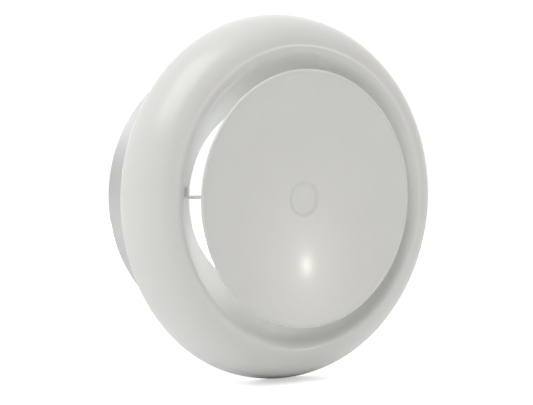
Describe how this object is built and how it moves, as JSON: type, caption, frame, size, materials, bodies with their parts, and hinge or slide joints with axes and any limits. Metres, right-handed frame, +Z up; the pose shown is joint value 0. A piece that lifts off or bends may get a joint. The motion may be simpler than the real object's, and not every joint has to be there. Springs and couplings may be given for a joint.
{
  "type": "round air valve with adjustable disc",
  "caption": "Round metal air valve: a rounded rim and bellmouth with a dished disc on a screwed spindle, bayonet-held in a duct collar.",
  "frame": {"origin": "on the valve's axis, in the plane where the collar's flange and the rim's gasket lie on the wall or ceiling", "axes": "+Y along the axis into the duct, -Y out into the room, +Z up as the valve stands on a wall; for a ceiling turn the row so that -Y points down"},
  "size_m": [0.202, 0.0817, 0.202],
  "materials": {
    "white_powder_coat": "gloss white powder coat",
    "galvanised_sheet": "galvanised",
    "zinc_plate": "bright zinc plate",
    "grey_foam": "closed-cell foam"
  },
  "bodies": {
    "duct_collar": {"mounting_collar": "galvanised_sheet"},
    "valve_housing": {"valve_ring": "white_powder_coat", "rim_gasket": "grey_foam", "valve_sleeve": "galvanised_sheet", "bayonet_studs": "zinc_plate", "left_arm": "white_powder_coat", "right_arm": "white_powder_coat", "hub_bush": "zinc_plate"},
    "spindle_rod": {"spindle": "zinc_plate"},
    "disc": {"disc_plate": "white_powder_coat", "disc_boss": "zinc_plate"},
    "washer": {"lock_washer": "zinc_plate"},
    "nut": {"lock_nut": "zinc_plate"}
  },
  "joints": [
    {"name": "bayonet_turn", "type": "hinge", "parent": "duct_collar", "child": "valve_housing", "pos_m": [0, 0, 0], "axis": [0, -1, 0], "range_deg": [0, 22]},
    {"name": "spindle_travel", "type": "slide", "parent": "valve_housing", "child": "spindle_rod", "axis": [0, -1, 0], "range_m": [-0.01376, 0.00876]},
    {"name": "disc_turn", "type": "hinge", "parent": "spindle_rod", "child": "disc", "pos_m": [0, 0, 0], "axis": [0, -1, 0], "range_deg": [-3960, 2520]},
    {"name": "nut_travel", "type": "slide", "parent": "valve_housing", "child": "washer", "axis": [0, 1, 0], "range_m": [0, 0.00125]},
    {"name": "lock_nut_turn", "type": "hinge", "parent": "washer", "child": "nut", "pos_m": [0, 0.02, 0], "axis": [0, 1, 0], "range_deg": [0, 360.5]}
  ],
  "couplings": [
    {"joint": "spindle_travel", "follows": "disc_turn", "m_per_rad": 0.00019894},
    {"joint": "lock_nut_turn", "follows": "nut_travel", "rad_per_m": 5026.5}
  ]
}
